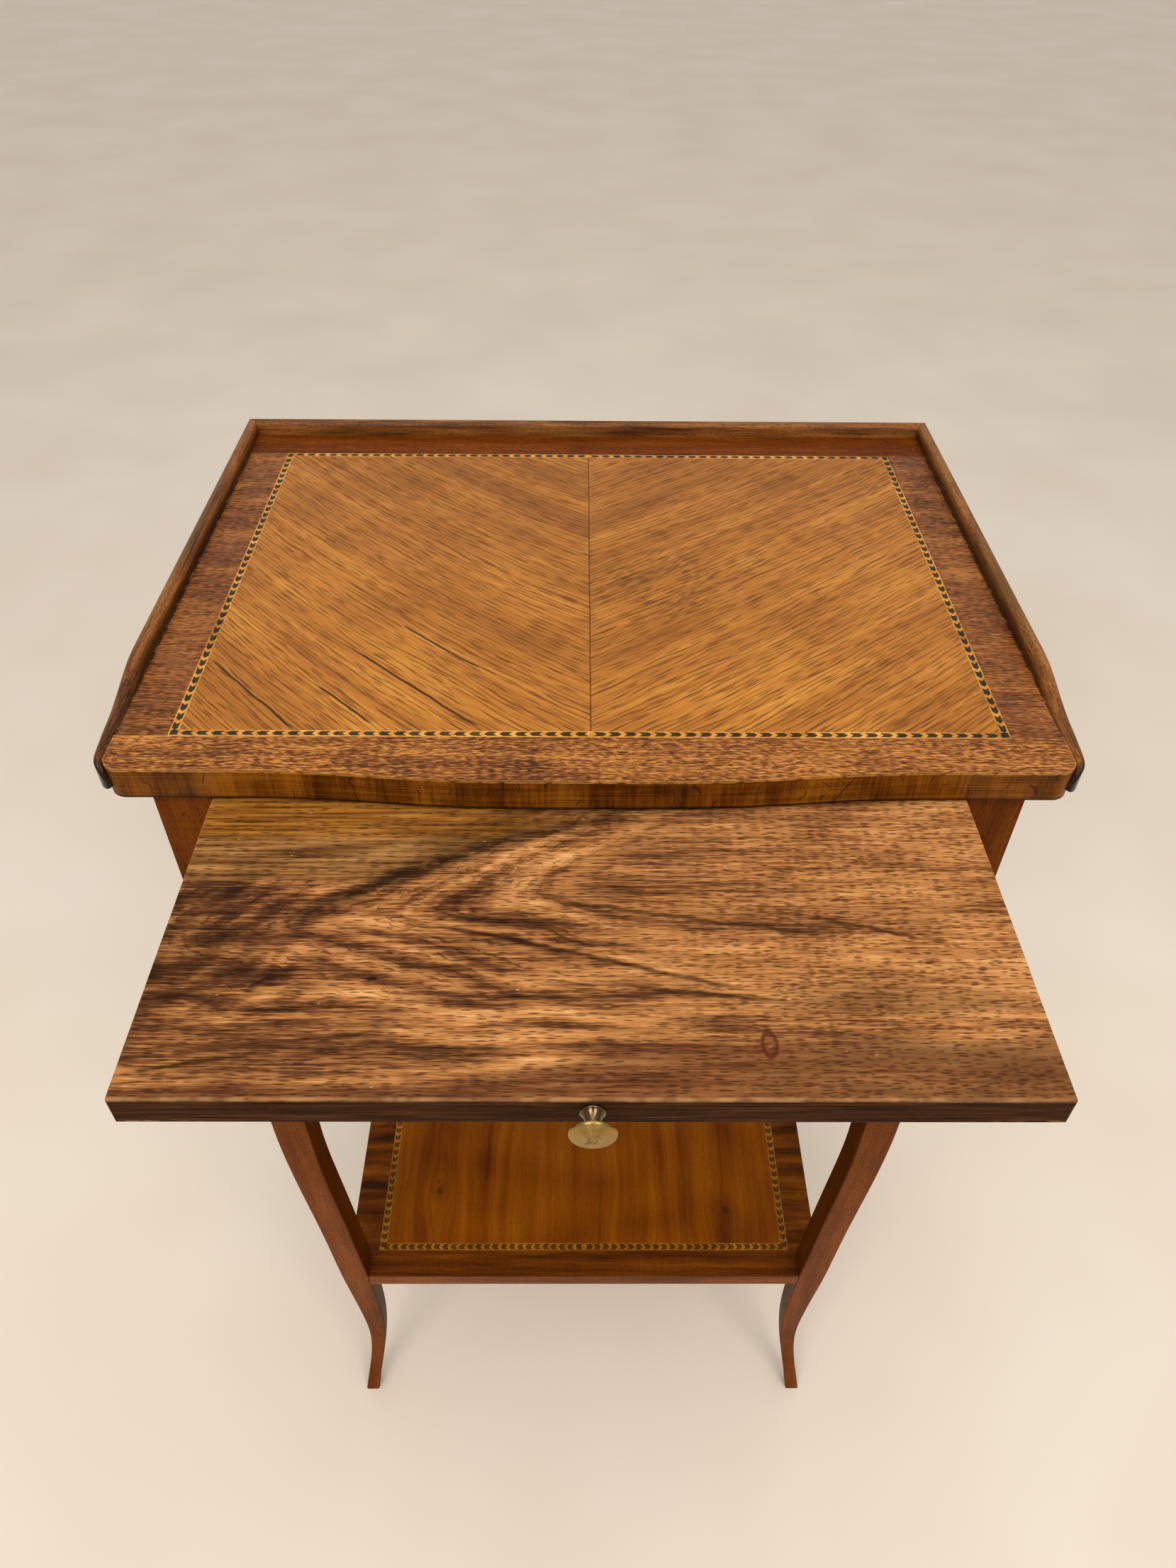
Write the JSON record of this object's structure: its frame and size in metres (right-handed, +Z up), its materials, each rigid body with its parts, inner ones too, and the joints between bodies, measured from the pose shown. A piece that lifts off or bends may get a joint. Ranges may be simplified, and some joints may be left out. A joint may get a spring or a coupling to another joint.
{
  "type": "sewing table",
  "caption": "Small four-legged sewing table with a low gallery round an inlaid top, a pull-out slide, shallow drawers and a lower shelf.",
  "frame": {"origin": "on the floor, in the middle of the outline that the table has with its slide drawn out as stored", "axes": "+Z up, -Y towards the user at the front, +X to the user's right"},
  "size_m": [0.427, 0.476, 0.7585],
  "materials": {
    "top_core": "oiled",
    "top_border": "satin polish, worn",
    "top_edge": "satin polish, worn edge",
    "stringing": "satin polish",
    "top_centre": "satin polish",
    "gallery": "satin polish",
    "legs": "satin polish",
    "case": "satin polish",
    "drawer_front": "satin polish",
    "drawer_lining": "bare",
    "slide": "satin polish",
    "brass": "turned, lightly worn",
    "shelf_core": "satin polish",
    "shelf_border": "satin polish",
    "shelf_centre": "satin polish",
    "steel": "bright"
  },
  "bodies": {
    "table": {"top_board": "top_core", "top_border_front": "top_border", "top_border_back": "top_border", "top_border_left": "top_border", "top_border_right": "top_border", "top_front_edge": "top_edge", "top_stringing_front": "stringing", "top_stringing_back": "stringing", "top_stringing_left": "stringing", "top_stringing_right": "stringing", "shelf_stringing_front": "stringing", "shelf_stringing_back": "stringing", "shelf_stringing_left": "stringing", "shelf_stringing_right": "stringing", "top_veneer_left": "top_centre", "top_veneer_right": "top_centre", "gallery_left": "gallery", "gallery_right": "gallery", "gallery_back": "gallery", "leg_front_left": "legs", "leg_front_right": "legs", "leg_back_left": "legs", "leg_back_right": "legs", "side_panel_left": "case", "side_panel_right": "case", "back_panel": "case", "slide_rail": "case", "drawer_divider": "case", "bottom_rail": "case", "slide_runner_left": "drawer_lining", "slide_runner_right": "drawer_lining", "upper_drawer_runner_left": "drawer_lining", "upper_drawer_runner_right": "drawer_lining", "lower_drawer_runner_left": "drawer_lining", "lower_drawer_runner_right": "drawer_lining", "shelf_dowels": "drawer_lining", "shelf_board": "shelf_core", "shelf_border_front": "shelf_border", "shelf_border_back": "shelf_border", "shelf_border_left": "shelf_border", "shelf_border_right": "shelf_border", "shelf_veneer": "shelf_centre", "top_screws": "steel"},
    "slide": {"slide_board": "slide", "slide_knob": "brass", "slide_stops": "drawer_lining"},
    "upper_drawer": {"upper_drawer_front": "drawer_front", "upper_drawer_back": "drawer_lining", "upper_drawer_bottom": "drawer_lining", "upper_drawer_knob": "brass", "upper_drawer_side_left": "drawer_lining", "upper_drawer_side_right": "drawer_lining"},
    "lower_drawer": {"lower_drawer_front": "drawer_front", "lower_drawer_back": "drawer_lining", "lower_drawer_bottom": "drawer_lining", "lower_drawer_knob": "brass", "lower_drawer_side_left": "drawer_lining", "lower_drawer_side_right": "drawer_lining"}
  },
  "joints": [
    {"name": "slide_pull", "type": "slide", "parent": "table", "child": "slide", "axis": [0, -1, 0], "range_m": [-0.152, 0.06]},
    {"name": "upper_drawer_pull", "type": "slide", "parent": "table", "child": "upper_drawer", "axis": [0, -1, 0], "range_m": [0, 0.2]},
    {"name": "lower_drawer_pull", "type": "slide", "parent": "table", "child": "lower_drawer", "axis": [0, -1, 0], "range_m": [0, 0.2]}
  ]
}
